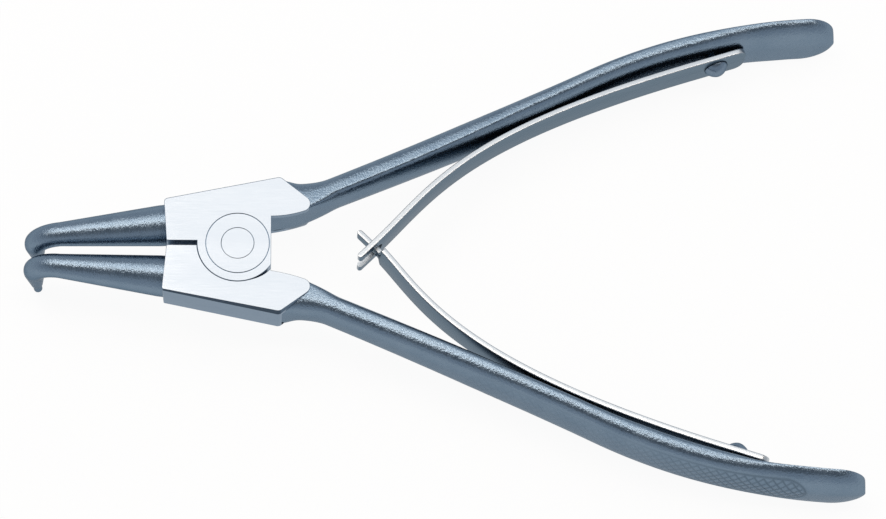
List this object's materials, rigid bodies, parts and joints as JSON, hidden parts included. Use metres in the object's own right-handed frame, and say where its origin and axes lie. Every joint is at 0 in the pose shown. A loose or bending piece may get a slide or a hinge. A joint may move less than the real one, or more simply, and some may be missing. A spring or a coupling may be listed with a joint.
{
  "type": "circlip pliers",
  "caption": "External circlip pliers with jaws bent square into fine round tips, a riveted lap joint, bowed grips and crossed leaf springs that push the handles apart.",
  "frame": {"origin": "on the pivot axis, at the ground upper face of the head", "axes": "+X along the centre line from the pivot to the handles, +Y to the upper lever, +Z along the pivot axis away from the bent tips, which point to -Z"},
  "size_m": [0.1705, 0.1036, 0.0221],
  "materials": {
    "satin_steel": "satin nickel-chrome plating on a forged, lightly blasted surface",
    "polished_steel": "ground and polished flush with the head",
    "spring_steel": "rolled strip with bright edges",
    "rivet_steel": "upset dome, satin"
  },
  "bodies": {
    "lower_half": {"lower_lever": "satin_steel", "pivot_rivet": "polished_steel", "lower_spring": "spring_steel", "lower_spring_rivet": "rivet_steel"},
    "upper_half": {"upper_lever": "satin_steel", "upper_spring": "spring_steel", "upper_spring_rivet": "rivet_steel"}
  },
  "joints": [
    {"name": "pivot", "type": "hinge", "parent": "lower_half", "child": "upper_half", "pos_m": [0, 0, -0.005], "axis": [0, 0, -1], "range_deg": [-1.5, 34], "stiffness_Nm_per_rad": 4, "deforming": ["lower_spring", "upper_spring"]}
  ]
}
